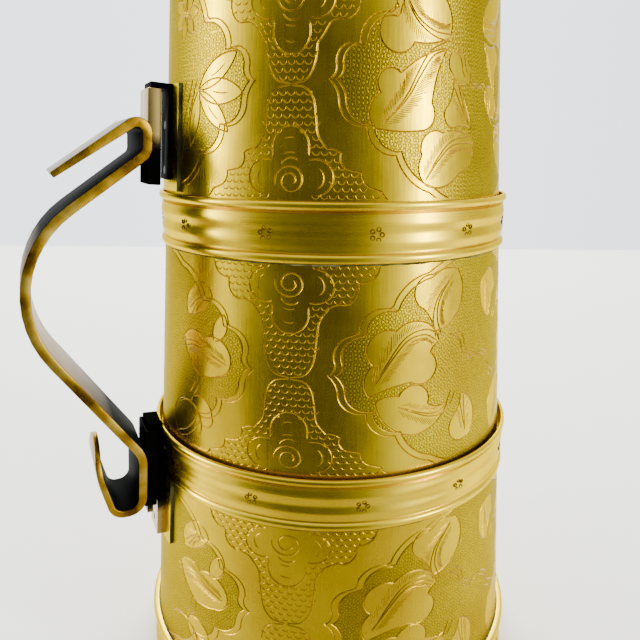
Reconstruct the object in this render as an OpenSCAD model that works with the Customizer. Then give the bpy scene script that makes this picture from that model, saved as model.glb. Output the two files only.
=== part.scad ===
// Stacking tiffin carrier in engraved brass: three tapered tiers, a domed lid
// and a forged strap handle that hooks onto the top and the bottom tier.
// Z is up, the origin is the centre of the rest face, the handle is on the -X side.

/* [Stack] */
// Height from one band to the next
tier_pitch = 82; // [78:1:86]
// Height of every band
band_h = 17.5; // [16:0.5:19]
// Outer radius of the foot band
foot_r = 74; // [72:0.5:76]
// Radius lost from one band to the next
step_r = 6; // [5.5:0.1:6.5]
// Thickness of the wall sheet
wall_t = 1; // [0.8:0.1:1.2]
// How deep each tier nests into the collar below it
nest_depth = 7; // [6:0.5:8]
// Thickness of the base discs
disc_t = 1.2; // [1:0.1:1.4]

/* [Bands] */
// Radius of the half-round bead along the lower edge
bead_r = 1.35; // [1.2:0.05:1.5]
// Radius of the lip along the upper edge
lip_r = 1.05; // [0.9:0.05:1.15]
// How far the plain field lies below the bead
field_drop = 0.7; // [0.6:0.05:0.8]
// Depth of the two turned lines beside the field
line_depth = 0.25; // [0.1:0.05:0.3]

/* [Lid] */
// Height of the dome above its bead
dome_h = 17; // [12:1:20]
// Radius of the ball of the knob
knob_r = 8.5; // [7:0.5:9.5]

/* [Hooks and sleeves] */
// Width of a sleeve
sleeve_w = 14; // [13:0.5:15]
// Length of a sleeve
sleeve_len = 29; // [28:0.5:29.5]
// Thickness of a sleeve's walls
sleeve_t = 0.8; // [0.7:0.05:0.9]
// Length of the tongue of the bottom hook
lower_tongue = 32.5; // [30:0.5:34]
// Length of the tongue of the top hook
upper_tongue = 16; // [14:0.5:18]
// Width of the curved plates behind the hooks
plate_w = 21; // [18:0.5:24]
// Radius of the rivet shanks
rivet_r = 1.3; // [1:0.1:1.5]

/* [Handle strap] */
// Thickness of the strap
strap_t = 3; // [2.6:0.1:3.2]
// Width of the strap at its upper end
strap_top_w = 32; // [28:1:34]
// Width of the strap at its lower end
strap_low_w = 23; // [20:1:25]
// Radius of the grip's bend
grip_r = 34; // [30:1:36]

/* [Hidden] */
$fn = 240;
seat_gap = 0.1;
nest_gap = 0.7;
wall_below_lip = 2.6;
wall_below_bead = 1.2;
slope = (step_r - wall_below_lip + wall_below_bead) / (tier_pitch - band_h);
lean = atan(step_r / tier_pitch);
guide_r = foot_r - wall_below_bead;
plate_t = 1.2;
skin = 0.01;

// Radius of band k, with the foot band as number 0
function band_r(k) = foot_r - step_r * k;
// Height at which band k starts, and the height of the seat inside it
function band_z(k) = tier_pitch * k;
function seat_z(k) = band_z(k) + band_h - nest_depth;
// Outer radius of tier k's wall at height z
function wall_r(k, z) = band_r(k) - wall_below_lip - slope * (z - band_z(k) - band_h);

// Hook stack, measured outwards from the slanted guide line along the wall
stem_out = 3.9;
top_stem_out = 2;
sleeve_in = 4.4;
sleeve_depth = 4.2;
sleeve_out = sleeve_in + sleeve_depth;
tongue_in = sleeve_in + sleeve_t + 0.3;
tongue_t = 2;
tongue_w = sleeve_w - 2 * sleeve_t - 1;
bridge_t = 1.6;
sleeve_gap = 0.3;
lower_sleeve_s = 71.6;
upper_sleeve_s = 184.2;
plate_low_z = 57;
plate_up_z = 182.2;
lower_rivet_s = [63, 75];
upper_rivet_s = [189, 203];
rivet_head_r = 2.3;
rivet_head_h = 0.9;

// Corners of the strap's centre line as [distance from the guide, height along it, bend radius]
strap_q = sleeve_out + strap_t / 2;
strap_path = [
    [36.5, 185.6, 0],
    [strap_q, 205.2, 2.9],
    [strap_q, 193.6, 4],
    [57.8, 154.9, grip_r],
    [strap_q, 93.7, 10],
    [strap_q, 73.2, 5.3],
    [19.4, 72.6, 4.4],
    [24.6, 89, 30],
    [24.4, 100.5, 0]
];
// The lower free end is cut round
tip_s = 98.5;
tip_r = strap_low_w / 2 + 1;
top_tip_t = 1.8;
low_tip_t = 1.6;
bend_steps = 12;

// ---- Helpers ----

module on_guide() {
    translate([-guide_r, 0, 0]) rotate([0, lean, 0]) children();
}

// Block between two distances from the guide and two heights along it
module guide_block(q0, q1, width, s0, s1) {
    translate([-q1, -width / 2, s0]) cube([q1 - q0, width, s1 - s0]);
}

module cone_solid(k, z0, z1, grow) {
    translate([0, 0, z0]) cylinder(
        h = z1 - z0,
        r1 = wall_r(k, z0) + grow,
        r2 = wall_r(k, z1) + grow
    );
}

module rivet_shanks(places, q0, q1) {
    on_guide() for (s = places)
        translate([-q1, 0, s]) rotate([0, 90, 0]) cylinder(h = q1 - q0, r = rivet_r, $fn = 32);
}

// Tapered tube of sheet, open at both ends
module tier_wall(k, z0, z1) {
    rotate_extrude() polygon([
        [wall_r(k, z0) - wall_t, z0],
        [wall_r(k, z0), z0],
        [wall_r(k, z1), z1],
        [wall_r(k, z1) - wall_t, z1]
    ]);
}

module tier_base(k, z0) {
    translate([0, 0, z0]) cylinder(
        h = disc_t,
        r1 = wall_r(k, z0) - wall_t,
        r2 = wall_r(k, z0 + disc_t) - wall_t
    );
}

// Section of a band: bead below, lip above and a field between two turned lines
module band_section(k) {
    outer = band_r(k);
    field = outer - field_drop;
    low = band_z(k);
    high = low + band_h;
    root = outer - wall_below_lip - 0.5;
    difference() {
        union() {
            translate([root, low + bead_r]) square([field - root, band_h - bead_r - lip_r]);
            translate([outer - bead_r, low + bead_r]) circle(r = bead_r, $fn = 32);
            translate([root, low]) square([outer - bead_r - root, 2 * bead_r]);
            translate([outer - lip_r, high - lip_r]) circle(r = lip_r, $fn = 32);
            translate([root, high - 2 * lip_r]) square([outer - lip_r - root, 2 * lip_r]);
        }
        for (z = [low + 2 * bead_r + 0.2, high - 2 * lip_r - 0.6])
            translate([field - line_depth, z]) square([1, 0.4]);
    }
}

// Band k, soldered round the wall of the tier below its seat
module collar(k) {
    low = band_z(k);
    seat = seat_z(k);
    difference() {
        rotate_extrude() band_section(k);
        cone_solid(k - 1, low - 1, seat + skin, 0);
        translate([0, 0, seat]) cylinder(h = band_h, r = wall_r(k, seat) + nest_gap);
    }
}

module hook_plate(k, z0, z1, rivets) {
    difference() {
        intersection() {
            cone_solid(k, z0, z1, plate_t);
            translate([-2 * foot_r, -plate_w / 2, z0]) cube([2 * foot_r, plate_w, z1 - z0]);
        }
        cone_solid(k, z0 - 1, z1 + 1, 0);
        rivet_shanks(rivets, -5, 5);
    }
}

// Rivets with a flush outer end and a low head inside the wall
module hook_rivets(k, places, q_out) {
    on_guide() for (s = places) translate([0, 0, s]) {
        z = s * cos(lean);
        inside = guide_r - s * sin(lean) - wall_r(k, z) + wall_t;
        translate([-q_out, 0, 0]) rotate([0, 90, 0])
            cylinder(h = q_out + inside + 0.5, r = rivet_r, $fn = 32);
        translate([inside + 0.1, 0, 0]) rotate([0, 90, 0])
            cylinder(h = rivet_head_h, r1 = rivet_head_r, r2 = rivet_head_r - 0.5, $fn = 32);
    }
}

module sleeve(s0) {
    on_guide() difference() {
        guide_block(sleeve_in, sleeve_out, sleeve_w, s0, s0 + sleeve_len);
        guide_block(
            sleeve_in + sleeve_t, sleeve_out - sleeve_t,
            sleeve_w - 2 * sleeve_t, s0 - 1, s0 + sleeve_len + 1
        );
    }
}

// ---- Strap outline ----

function unit(v) = v / norm(v);
function flat(p) = [p[0], p[1]];
function cross2(a, b) = a[0] * b[1] - a[1] * b[0];

// Points of one rounded corner of the centre line
function corner(path, i) =
    let (
        here = flat(path[i]),
        a = unit(here - flat(path[i - 1])),
        b = unit(flat(path[i + 1]) - here),
        side = sign(cross2(a, b)),
        turn = acos(a * b),
        reach = path[i][2] * tan(turn / 2),
        start = here - reach * a,
        centre = start + side * path[i][2] * [-a[1], a[0]],
        spoke = start - centre
    )
    [for (n = [0:bend_steps])
        let (angle = side * turn * n / bend_steps)
        centre + [
            spoke[0] * cos(angle) - spoke[1] * sin(angle),
            spoke[0] * sin(angle) + spoke[1] * cos(angle)
        ]
    ];

strap_line = concat(
    [flat(strap_path[0])],
    [for (i = [1:len(strap_path) - 2]) each corner(strap_path, i)],
    [flat(strap_path[len(strap_path) - 1])]
);
last = len(strap_line) - 1;
first_bend = 1;
last_flat = last - 3 * bend_steps - 2;

function along(i) =
    i == 0 ? unit(strap_line[1] - strap_line[0]) :
    i == last ? unit(strap_line[last] - strap_line[last - 1]) :
    unit(unit(strap_line[i] - strap_line[i - 1]) + unit(strap_line[i + 1] - strap_line[i]));

// The strap thins towards both of its free ends
function thickness(i) =
    i < first_bend ? top_tip_t :
    i <= last_flat ? strap_t :
    i == last ? low_tip_t :
    strap_t - (strap_t - low_tip_t) * 0.8 * (i - last_flat) / (last - 1 - last_flat);

function edge_point(i, side) =
    let (d = along(i))
    strap_line[i] + side * thickness(i) / 2 * [-d[1], d[0]];

module strap_outline() {
    polygon(concat(
        [for (i = [0:last]) edge_point(i, 1)],
        [for (i = [last:-1:0]) edge_point(i, -1)]
    ));
}

// ---- Bottom tier ----

module bottom_wall() {
    color("goldenrod") difference() {
        tier_wall(0, 0, seat_z(1));
        rivet_shanks(lower_rivet_s, -5, 5);
    }
}

module bottom_base() {
    color("lightgray") tier_base(0, 0);
}

module bottom_collar() {
    color("gold") collar(1);
}

module foot_band() {
    color("gold") difference() {
        rotate_extrude() band_section(0);
        cone_solid(0, -1, band_h + 1, 0);
    }
}

module bottom_plate() {
    color("darkgoldenrod") hook_plate(0, plate_low_z, band_z(1) - 0.2, lower_rivet_s);
}

module bottom_hook() {
    top = lower_sleeve_s + sleeve_len + sleeve_gap;
    color("darkgoldenrod") difference() {
        on_guide() {
            guide_block(0.6, stem_out, tongue_w, plate_low_z + 2, top + bridge_t);
            guide_block(stem_out - 1, tongue_in + tongue_t, tongue_w, top, top + bridge_t);
            guide_block(tongue_in, tongue_in + tongue_t, tongue_w, top - lower_tongue, top + 1);
        }
        cone_solid(0, 0, band_z(1) - 0.2, plate_t);
        translate([0, 0, band_z(1) - 0.2])
            cylinder(h = band_h + 8, r = band_r(1));
        rivet_shanks(lower_rivet_s, -5, stem_out + 0.2);
    }
}

module bottom_rivets() {
    color("darkgoldenrod") hook_rivets(0, lower_rivet_s, stem_out);
}

// ---- Middle tier ----

module middle_wall() {
    color("goldenrod") tier_wall(1, seat_z(1) + seat_gap, seat_z(2));
}

module middle_base() {
    color("lightgray") tier_base(1, seat_z(1) + seat_gap);
}

module middle_collar() {
    color("gold") collar(2);
}

// ---- Top tier ----

module top_wall() {
    color("goldenrod") difference() {
        tier_wall(2, seat_z(2) + seat_gap, seat_z(3));
        rivet_shanks(upper_rivet_s, -5, 5);
    }
}

module top_base() {
    color("lightgray") tier_base(2, seat_z(2) + seat_gap);
}

module top_collar() {
    color("gold") collar(3);
}

module top_plate() {
    color("darkgoldenrod") hook_plate(2, plate_up_z, plate_up_z + 32.4, upper_rivet_s);
}

// The tongue's outer face is upright, so the tier lifts straight off the sleeve
module top_hook() {
    top = upper_sleeve_s + sleeve_len + sleeve_gap;
    taper = (upper_tongue + bridge_t) * tan(lean);
    color("darkgoldenrod") difference() {
        on_guide() {
            guide_block(0.4, top_stem_out, tongue_w, upper_rivet_s[0] - 3, top + bridge_t);
            guide_block(top_stem_out - 1, tongue_in + tongue_t, tongue_w, top, top + bridge_t);
            translate([0, tongue_w / 2, 0]) rotate([90, 0, 0]) linear_extrude(tongue_w) polygon([
                [-tongue_in, top + bridge_t / 2],
                [-tongue_in - tongue_t, top + bridge_t / 2],
                [-tongue_in - tongue_t + taper, top - upper_tongue],
                [-tongue_in, top - upper_tongue]
            ]);
        }
        cone_solid(2, plate_up_z - 5, plate_up_z + 32.4, plate_t);
        cone_solid(2, plate_up_z, plate_up_z + 40, 0);
        rivet_shanks(upper_rivet_s, -5, top_stem_out + 0.2);
    }
}

module top_rivets() {
    color("darkgoldenrod") hook_rivets(2, upper_rivet_s, top_stem_out);
}

// ---- Handle ----

// What is cut off the two corners of the lower free end
module tip_offcut() {
    translate([-22, 0, 0]) rotate([0, -90, 0]) linear_extrude(12) difference() {
        translate([tip_s - tip_r, -strap_low_w]) square([tip_r + 5, 2 * strap_low_w]);
        translate([tip_s - tip_r, 0]) circle(tip_r);
    }
}

module handle_strap() {
    low_s = 60;
    high_s = 212;
    color("peru") on_guide() difference() {
        intersection() {
            translate([0, strap_top_w / 2, 0]) rotate([90, 0, 0])
                linear_extrude(strap_top_w) mirror([1, 0]) strap_outline();
            rotate([0, -90, 0]) linear_extrude(80) polygon([
                [low_s, -strap_low_w / 2],
                [low_s, strap_low_w / 2],
                [high_s, strap_top_w / 2],
                [high_s, -strap_top_w / 2]
            ]);
        }
        tip_offcut();
    }
}

module upper_sleeve() {
    color("darkkhaki") sleeve(upper_sleeve_s);
}

module lower_sleeve() {
    color("darkkhaki") sleeve(lower_sleeve_s);
}

// ---- Lid ----

lid_z = seat_z(3) + seat_gap;
lid_r = wall_r(3, seat_z(3));
lid_top = band_z(3) + band_h + 2.6;
dome_r = (lid_r * lid_r + dome_h * dome_h) / (2 * dome_h);
dome_centre = lid_top + dome_h - dome_r;
lid_t = 1;

// Rim that nests in the top collar, a flat seat at its foot and the dome above
module lid_dome() {
    color("goldenrod") difference() {
        rotate_extrude() difference() {
            union() {
                translate([0, lid_z]) square([lid_r, lid_top - lid_z]);
                intersection() {
                    translate([0, dome_centre]) circle(r = dome_r, $fn = 180);
                    translate([0, lid_top - skin]) square([lid_r, dome_h + 1]);
                }
            }
            translate([0, lid_z + lid_t]) square([lid_r - lid_t, lid_top - lid_z - lid_t - 1]);
            translate([0, lid_z - 1]) square([lid_r - 3.5, 4]);
            intersection() {
                translate([0, dome_centre]) circle(r = dome_r - lid_t, $fn = 180);
                translate([0, lid_top - 1.5]) square([lid_r - lid_t, dome_h + 1]);
            }
            translate([-1, dome_centre]) square([1, dome_r + 5]);
        }
        translate([0, 0, lid_z]) cylinder(h = 60, r = rivet_r, $fn = 32);
    }
}

// Half-round wire along the foot of the dome
module lid_bead() {
    color("gold") difference() {
        rotate_extrude() translate([lid_r + 0.3, lid_top - 1]) circle(r = 1.3, $fn = 32);
        translate([0, 0, lid_z]) cylinder(h = 20, r = lid_r);
    }
}

// Plug ring that centres the lid in the top tier
module lid_skirt() {
    inner = wall_r(2, seat_z(3)) - wall_t;
    color("lightgray") translate([0, 0, lid_z - 6]) difference() {
        cylinder(h = 6, r = inner - 0.5);
        translate([0, 0, -1]) cylinder(h = 8, r = inner - 1.5);
    }
}

knob_z = dome_centre + dome_r;
module knob() {
    color("gold") difference() {
        translate([0, 0, knob_z]) rotate_extrude() difference() {
            union() {
                translate([0, -1]) square([7, 2.6]);
                translate([0, 1.5]) square([4, 5]);
                translate([0, 6.5]) square([5.4, 1.6]);
                translate([0, 7 + knob_r]) circle(r = knob_r, $fn = 64);
                translate([0, 6.4 + 2 * knob_r]) square([3, 2]);
                translate([0, 9.4 + 2 * knob_r]) circle(r = 2.4, $fn = 32);
            }
            translate([-20, -5]) square([20, 60]);
        }
        translate([0, 0, dome_centre]) sphere(r = dome_r, $fn = 180);
        translate([0, 0, knob_z - 5]) cylinder(h = 17, r = rivet_r, $fn = 32);
    }
}

// Rivet from the knob through the dome, headed over the washer
module knob_rivet() {
    color("darkgoldenrod") {
        translate([0, 0, knob_z - lid_t - 1.2]) cylinder(h = lid_t + 13, r = rivet_r, $fn = 32);
        translate([0, 0, knob_z - lid_t - 2.2])
            cylinder(h = 1, r1 = rivet_head_r - 0.5, r2 = rivet_head_r, $fn = 32);
    }
}

module knob_washer() {
    color("darkgoldenrod") difference() {
        translate([0, 0, knob_z - lid_t - 1.2]) cylinder(h = 1.2, r = 5, $fn = 48);
        translate([0, 0, knob_z - 10]) cylinder(h = 20, r = rivet_r, $fn = 32);
        difference() {
            translate([0, 0, knob_z - lid_t - 0.4]) cylinder(h = 2, r = 6);
            translate([0, 0, dome_centre]) sphere(r = dome_r - lid_t, $fn = 180);
        }
    }
}

bottom_wall();
bottom_base();
bottom_collar();
foot_band();
bottom_plate();
bottom_hook();
bottom_rivets();
middle_wall();
middle_base();
middle_collar();
top_wall();
top_base();
top_collar();
top_plate();
top_hook();
top_rivets();
handle_strap();
upper_sleeve();
lower_sleeve();
lid_dome();
lid_bead();
lid_skirt();
knob();
knob_rivet();
knob_washer();
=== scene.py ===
import math
from functools import partial

import bmesh
import bpy
import numpy as np
from mathutils import Matrix, Vector
from mathutils.geometry import delaunay_2d_cdt
from mathutils.kdtree import KDTree


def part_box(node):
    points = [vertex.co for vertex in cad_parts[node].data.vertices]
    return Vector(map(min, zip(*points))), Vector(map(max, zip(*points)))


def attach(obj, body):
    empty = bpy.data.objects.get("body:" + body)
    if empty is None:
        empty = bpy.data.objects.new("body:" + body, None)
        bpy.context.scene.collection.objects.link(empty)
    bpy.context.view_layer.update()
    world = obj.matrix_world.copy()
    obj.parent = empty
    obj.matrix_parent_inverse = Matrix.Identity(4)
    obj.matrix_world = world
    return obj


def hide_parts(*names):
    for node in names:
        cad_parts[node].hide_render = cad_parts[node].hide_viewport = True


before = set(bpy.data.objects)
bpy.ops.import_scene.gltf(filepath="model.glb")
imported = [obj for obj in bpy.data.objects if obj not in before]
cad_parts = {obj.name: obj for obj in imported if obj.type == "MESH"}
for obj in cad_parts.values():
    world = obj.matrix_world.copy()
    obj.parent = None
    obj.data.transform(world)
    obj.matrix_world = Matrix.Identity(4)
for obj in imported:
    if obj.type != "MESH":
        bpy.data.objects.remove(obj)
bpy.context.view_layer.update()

MM = 0.001
TAU = 2 * math.pi

# ---------------------------------------------------------------- sizes from the frame


def top_of(node):
    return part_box(node)[1][2]


def foot_of(node):
    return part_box(node)[0][2]


def radius_of(node):
    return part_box(node)[1][1]


BANDS = ["foot_band", "bottom_collar", "middle_collar", "top_collar"]
WALLS = ["bottom_wall", "middle_wall", "top_wall"]
TIERS = ["bottom_tier", "middle_tier", "top_tier"]
# the piece that stands in each band's seat
NESTED = ["", "middle_wall", "top_wall", "lid_dome"]
BAND_H = top_of("foot_band") - foot_of("foot_band")
PITCH = top_of("middle_collar") - top_of("bottom_collar")
WALL_T = 1.0 * MM
WALL_BELOW_LIP = 2.6 * MM
WALL_BELOW_BEAD = 1.2 * MM
BAND_STEP = radius_of("bottom_collar") - radius_of("middle_collar")
# how far a wall leans in for each metre of its height
WALL_FALL = (BAND_STEP - WALL_BELOW_LIP + WALL_BELOW_BEAD) / (PITCH - BAND_H)
# bearing of the first column of the ornament
PHASE = -127.0
# points closer than this are one point
WELD = 2e-6

# ---------------------------------------------------------------- camera, stage and light

VIEW_TURN = math.radians(25)
VIEW_PITCH = math.radians(15.45)
VIEW_ROLL = math.radians(0.43)
EYE_ACROSS = -4.13 * MM
EYE_BACK = -232.9 * MM
EYE_ABOVE_BAND = 13.9 * MM
LENS_MM = 34.73
SENSOR_MM = 36
NEAREST = 10 * MM
CARD_FRONT = -0.22
CARD_DEEP = 1.25
CARD_WIDE = 2.4
# the card's front edge lies in shade between these depths
SHADE_FROM = -0.13
SHADE_TO = -0.02
ROOM_STRENGTH = 3.0
ROOF_STARTS = 0.45
ROOF_FULL = 0.9
ROOF_GREY = (0.42, 0.42, 0.42, 1)
# bearing from the viewer's side in degrees, and brightness
ROOM = [
    (-180, 1.0), (-128, 0.8), (-110, 0.27), (-100, 0.5), (-90, 1.1), (-76, 1.1), (-64, 0.44), (-54, 0.10),
    (-40, 0.038), (-15, 0.036), (10, 0.045), (24, 0.10), (36, 0.30), (48, 0.68), (60, 0.9), (72, 0.62),
    (86, 0.32), (104, 0.30), (128, 0.70), (180, 1.0),
]
# bearing, distance, height, power in watts, width, height of the lamp, and the point it faces
LAMPS = {
    "left_window": (-84, 1.1, 0.33, 8.0, 0.12, 0.6, (0, 0, 0.15)),
    "right_window": (58, 1.1, 0.33, 8.0, 0.10, 0.5, (0, 0, 0.15)),
    "back_lamp": (180, 1.3, 1.5, 75.0, 1.4, 0.5, (0, 0.35, 0)),
}


def make_camera():
    data = bpy.data.cameras.new("view")
    data.lens = LENS_MM
    data.sensor_width = SENSOR_MM
    data.clip_start = NEAREST
    camera = bpy.data.objects.new("view", data)
    bpy.context.collection.objects.link(camera)
    turn = Matrix.Rotation(-VIEW_TURN, 4, "Z")
    tilt = Matrix.Rotation(math.pi / 2 - VIEW_PITCH, 4, "X")
    roll = Matrix.Rotation(VIEW_ROLL, 4, "Z")
    eye = turn @ Vector((EYE_ACROSS, EYE_BACK, top_of("middle_collar") + EYE_ABOVE_BAND))
    camera.matrix_world = Matrix.Translation(eye) @ turn @ tilt @ roll
    bpy.context.scene.camera = camera


def linear(hex_colour):
    """sRGB hex to a linear colour with alpha 1."""
    parts = [int(hex_colour[i:i + 2], 16) / 255 for i in (1, 3, 5)]
    return [p / 12.92 if p <= 0.04045 else ((p + 0.055) / 1.055) ** 2.4 for p in parts] + [1.0]


def connect(tree, node, sockets):
    """Set or link the sockets of a node."""
    for key, value in sockets.items():
        if isinstance(value, bpy.types.NodeSocket):
            tree.links.new(value, node.inputs[key])
        else:
            node.inputs[key].default_value = value


def add_node(tree, kind, sockets=None, stops=(), **settings):
    """Add one node with its settings and links; stops are the places and colours along a ramp."""
    made = tree.nodes.new("ShaderNode" + kind)
    for key, value in settings.items():
        setattr(made, key, value)
    connect(tree, made, sockets or {})
    if stops:
        elements = made.color_ramp.elements
        while len(elements) < len(stops):
            elements.new(0.5)
        for element, (place, colour) in zip(elements, stops):
            element.position = place
            element.color = linear(colour) if isinstance(colour, str) else [colour] * 3 + [1.0]
    return made


def finish(name, surface, *heights):
    """A material named for its finish; surface adds its nodes and gives the shader's sockets."""
    material = bpy.data.materials.new(name)
    material.use_nodes = True
    tree = material.node_tree
    connect(tree, tree.nodes["Principled BSDF"], surface(partial(add_node, tree), *heights))
    return material


def white_card(node):
    """Matt white card: even and without gloss, greyer towards its shaded front edge."""
    place = node("TexCoord").outputs["Object"]
    level = node("Mapping", {"Vector": place, "Rotation": (0, 0, VIEW_TURN)}).outputs[0]
    depth = node("SeparateXYZ", {0: level}).outputs[1]
    fade = node("MapRange", {0: depth, 1: SHADE_FROM, 2: SHADE_TO}).outputs[0]
    tint = node("ValToRGB", {0: fade}, [(0.0, "#A9A496"), (1.0, "#FBFBF4")]).outputs[0]
    return {"Base Color": tint, "Roughness": 0.9}


def make_stage():
    """A sheet of pale card that ends a hand's breadth in front of the foot."""
    card = bmesh.new()
    bmesh.ops.create_grid(card, x_segments=1, y_segments=1, size=0.5)
    middle = Matrix.Translation((0, CARD_FRONT + CARD_DEEP / 2, 0))
    size = Matrix.Diagonal((CARD_WIDE, CARD_DEEP, 1, 1))
    card.transform(Matrix.Rotation(-VIEW_TURN, 4, "Z") @ middle @ size)
    mesh = bpy.data.meshes.new("card")
    card.to_mesh(mesh)
    card.free()
    floor = bpy.data.objects.new("card", mesh)
    bpy.context.collection.objects.link(floor)
    mesh.materials.append(finish("matt_white_card", white_card))


def make_light():
    """A room seen all round: bright walls behind, dark on the viewer's side, a window at each side."""
    world = bpy.data.worlds.new("studio")
    bpy.context.scene.world = world
    world.use_nodes = True
    node = partial(add_node, world.node_tree)
    place = node("TexCoord").outputs["Generated"]
    turned = node("VectorRotate", {"Vector": place, "Angle": VIEW_TURN}, rotation_type="Z_AXIS")
    across, deep, up = node("SeparateXYZ", {0: turned.outputs[0]}).outputs
    back = node("Math", {0: deep, 1: -1.0}, operation="MULTIPLY").outputs[0]
    angle = node("Math", {0: across, 1: back}, operation="ARCTAN2").outputs[0]
    share = node("Math", {0: angle, 1: 1 / TAU, 2: 0.5}, operation="MULTIPLY_ADD").outputs[0]
    walls = node("ValToRGB", {0: share}, [(0.5 + bearing / 360, bright) for bearing, bright in ROOM])
    roof = node("MapRange", {0: up, 1: ROOF_STARTS, 2: ROOF_FULL, 3: 0.0, 4: 1.0}).outputs[0]
    room = node("Mix", {0: roof, 6: walls.outputs[0], 7: ROOF_GREY}, data_type="RGBA").outputs[2]
    cool = node("Mix", {0: 1.0, 6: room, 7: linear("#F7FAFF")}, data_type="RGBA", blend_type="MULTIPLY")
    shell = {"Color": cool.outputs[2], "Strength": ROOM_STRENGTH}
    connect(world.node_tree, world.node_tree.nodes["Background"], shell)

    turn = Matrix.Rotation(-VIEW_TURN, 4, "Z")
    for name, (bearing, away, up, power, wide, tall, target) in LAMPS.items():
        data = bpy.data.lights.new(name, "AREA")
        data.shape = "RECTANGLE"
        data.size = wide
        data.size_y = tall
        data.energy = power
        lamp = bpy.data.objects.new(name, data)
        bpy.context.collection.objects.link(lamp)
        angle = math.radians(bearing)
        eye = turn @ Vector((away * math.sin(angle), -away * math.cos(angle), up))
        aim = turn @ Vector(target) - eye
        lamp.matrix_world = Matrix.Translation(eye) @ aim.to_track_quat("-Z", "Y").to_matrix().to_4x4()


# ---------------------------------------------------------------- finishes

BRASS = "#D6B600"
BRASS_PALE = "#E0C51A"
BRASS_DEEP = "#B08E00"
# what aged brass throws back at a grazing angle
EDGE_TINT = linear("#D6CC92")
# the stretch of the grip that the hand rubs, and how softly it ends
GRIP_LOW = top_of("lower_sleeve") + 8 * MM
GRIP_HIGH = foot_of("upper_sleeve") - 12 * MM
GRIP_FADE = 22 * MM
FILE_SLANT = math.radians(-38)
FILE_TEETH = 0.55
# a wave texture runs through twenty units in one turn
WAVE_UNITS = 20
RING_PITCH = 1.35


def spacing(apart):
    """Scale of a pattern whose marks lie this many millimetres apart."""
    return 1 / (apart * MM)


def polished_brass(node):
    """Brass sheet, hand polished: olive yellow, with soft clouds and upright wipe marks.

    The marks are 1 mm apart, coarser than real ones, so that they show.
    """
    place = node("TexCoord").outputs["Object"]
    clouds = node("TexNoise", {"Vector": place, "Scale": spacing(26.3), "Detail": 5.0, "Roughness": 0.6})
    clouds = clouds.outputs[0]
    wipe = (spacing(1.0526), spacing(1.0526), spacing(45.45))
    wipe = node("Mapping", {"Vector": place, "Scale": wipe}).outputs[0]
    marks = node("TexNoise", {"Vector": wipe, "Scale": 1.0, "Detail": 4.0}).outputs[0]
    tint = node("ValToRGB", {0: clouds}, [(0.3, BRASS_DEEP), (0.55, BRASS), (0.75, BRASS_PALE)])
    tint = node("Mix", {0: 0.55, 6: linear(BRASS), 7: tint.outputs[0]}, data_type="RGBA")
    worn = node("Math", {0: clouds, 1: 0.16, 2: 0.14}, operation="MULTIPLY_ADD").outputs[0]
    rough = node("Math", {0: marks, 1: 0.10, 2: worn}, operation="MULTIPLY_ADD").outputs[0]
    # beaten sheet is never quite even: it swells every 24 mm or so
    swell = node("TexNoise", {"Vector": place, "Scale": spacing(23.8), "Detail": 1.0}).outputs[0]
    uneven = node("Bump", {"Height": swell, "Strength": 0.5, "Distance": 0.9 * MM}).outputs[0]
    bump = {"Height": marks, "Strength": 0.4, "Distance": 0.05 * MM, "Normal": uneven}
    return {
        "Base Color": tint.outputs[2], "Metallic": 1.0, "Specular Tint": EDGE_TINT,
        "Roughness": rough, "Normal": node("Bump", bump).outputs[0],
    }


def ring_punched_brass(node):
    """Brass matted with a ring punch: a grainy, duller ground of touching rings."""
    flat = node("UVMap", uv_map="sheet").outputs[0]
    rings = {"Vector": flat, "Scale": 1 / RING_PITCH, "Randomness": 0.45}
    cell = node("TexVoronoi", rings, voronoi_dimensions="2D").outputs["Distance"]
    groove = node("ValToRGB", {0: cell}, [(0.22, 1.0), (0.36, 0.0), (0.5, 0.55), (0.62, 0.9)]).outputs[0]
    place = node("TexCoord").outputs["Object"]
    clouds = node("TexNoise", {"Vector": place, "Scale": spacing(26.3), "Detail": 4.0}).outputs[0]
    tint = node("ValToRGB", {0: clouds}, [(0.3, "#A88E00"), (0.7, "#C6B000")]).outputs[0]
    tint = node("Mix", {0: groove, 6: linear("#7E6600"), 7: tint}, data_type="RGBA").outputs[2]
    rough = node("Math", {0: clouds, 1: 0.14, 2: 0.30}, operation="MULTIPLY_ADD").outputs[0]
    bump = node("Bump", {"Height": groove, "Strength": 0.45, "Distance": 0.1 * MM}).outputs[0]
    return {
        "Base Color": tint, "Metallic": 1.0, "Specular Tint": EDGE_TINT, "Roughness": rough, "Normal": bump,
    }


def engraved_brass(node):
    """Floor of a graver's cut: bright metal, browned by old polish left in it."""
    return {"Base Color": linear("#B48E0C"), "Metallic": 1.0, "Roughness": 0.34}


def punched_patina(node):
    """Punch marks that no polishing reaches: dark brown metal."""
    return {"Base Color": linear("#6E5208"), "Metallic": 1.0, "Roughness": 0.34}


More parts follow.
